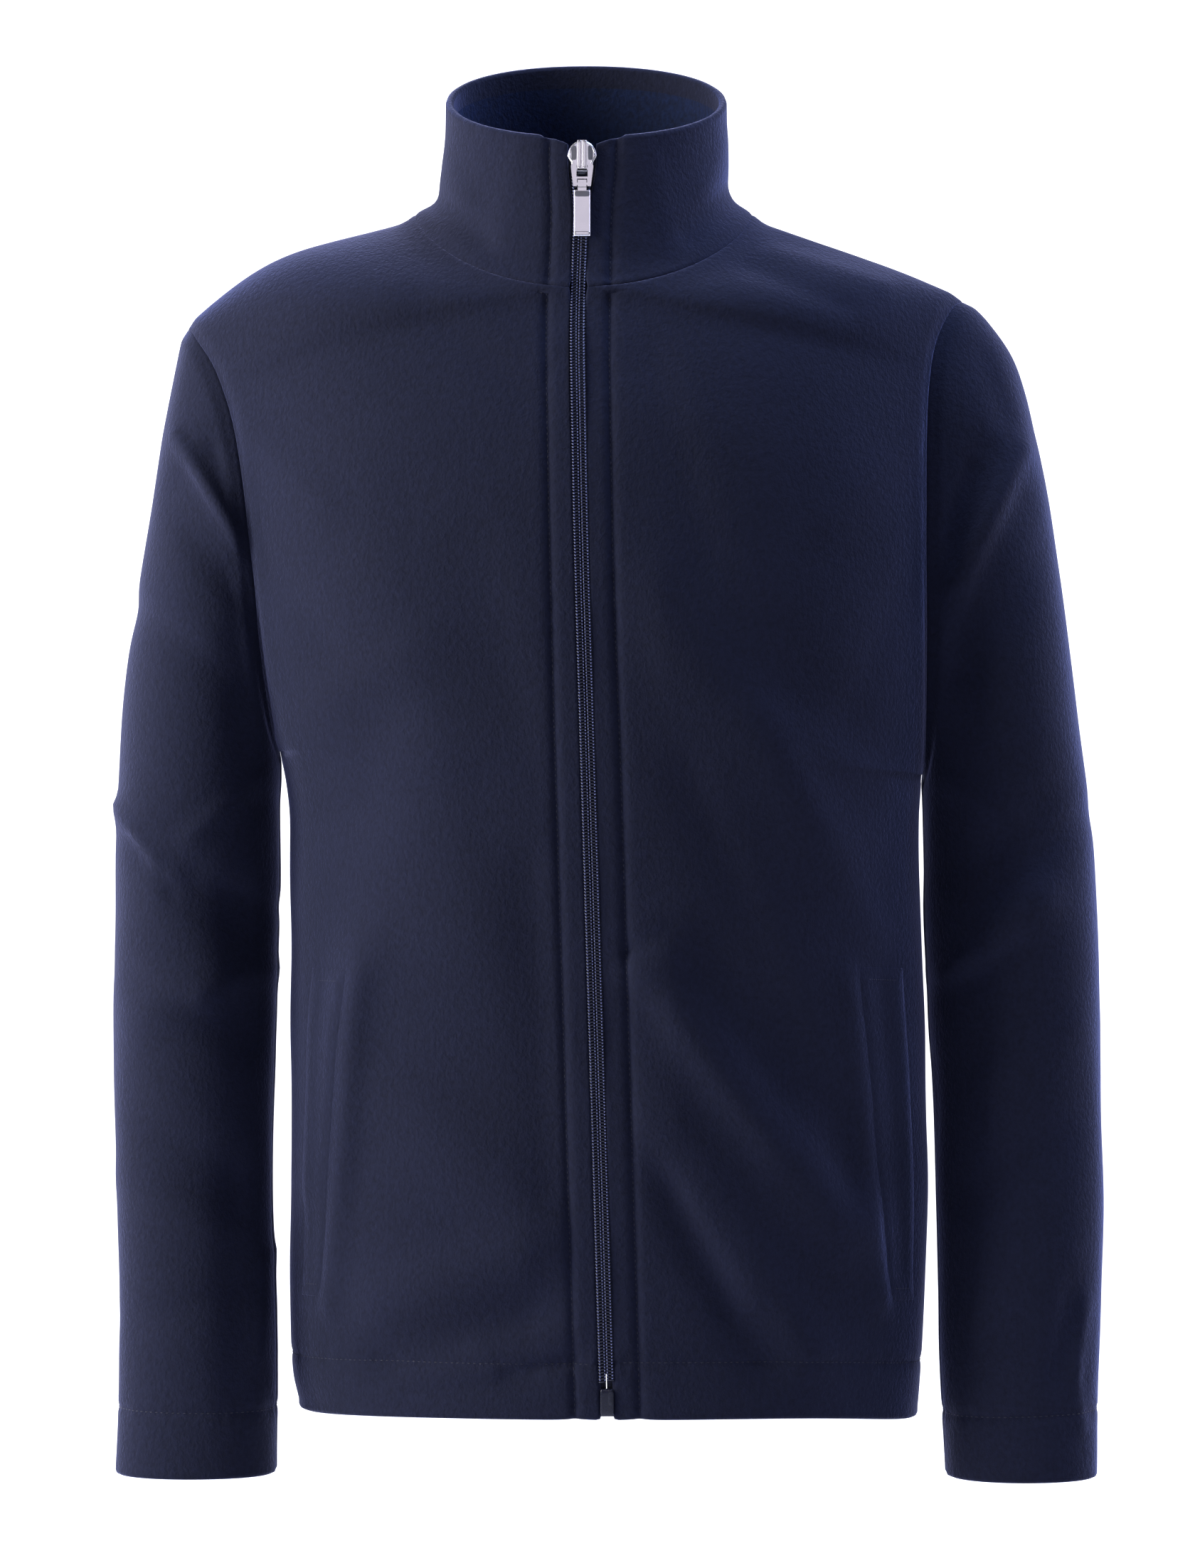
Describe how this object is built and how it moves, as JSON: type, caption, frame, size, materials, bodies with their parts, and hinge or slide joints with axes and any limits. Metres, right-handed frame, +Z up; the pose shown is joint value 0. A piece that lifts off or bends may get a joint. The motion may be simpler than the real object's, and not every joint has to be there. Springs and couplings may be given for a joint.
{
  "type": "fleece zip jacket",
  "caption": "Navy fleece jacket with stand-up collar, full-length zip and side pockets, in its worn hollow shape.",
  "frame": {"origin": "middle of the neck at the height of the shoulder-neck points, where the wearer's shoulders hold the jacket", "axes": "+Z up, -Y towards the front, +X towards the wearer's left"},
  "size_m": [0.5779, 0.2546, 0.8263],
  "materials": {
    "fleece": "brushed navy polyester fleece",
    "tape": "woven polyester zip tape",
    "coil": "navy nylon coil and moulded box",
    "nickel": "bright nickel-plated zinc"
  },
  "bodies": {
    "jacket": {"back": "fleece", "front_right": "fleece", "front_left": "fleece", "sleeve_right": "fleece", "sleeve_left": "fleece", "collar": "fleece", "pocket_welt_right": "fleece", "pocket_welt_left": "fleece", "zip_tape_right": "tape", "zip_tape_left": "tape", "zip_chain": "coil", "zip_box": "coil", "zip_slider": "nickel"},
    "link": {"pull_link": "nickel"},
    "tab": {"pull_tab": "nickel"}
  },
  "joints": [
    {"name": "link_hinge", "type": "hinge", "parent": "jacket", "child": "link", "pos_m": [-0.0013, -0.0781, 0.02243], "axis": [-1, 0, 0], "range_deg": [0, 115]},
    {"name": "tab_hinge", "type": "hinge", "parent": "link", "child": "tab", "pos_m": [-0.0013, -0.07998, 0.01088], "axis": [-1, 0, 0], "range_deg": [0, 90]}
  ]
}
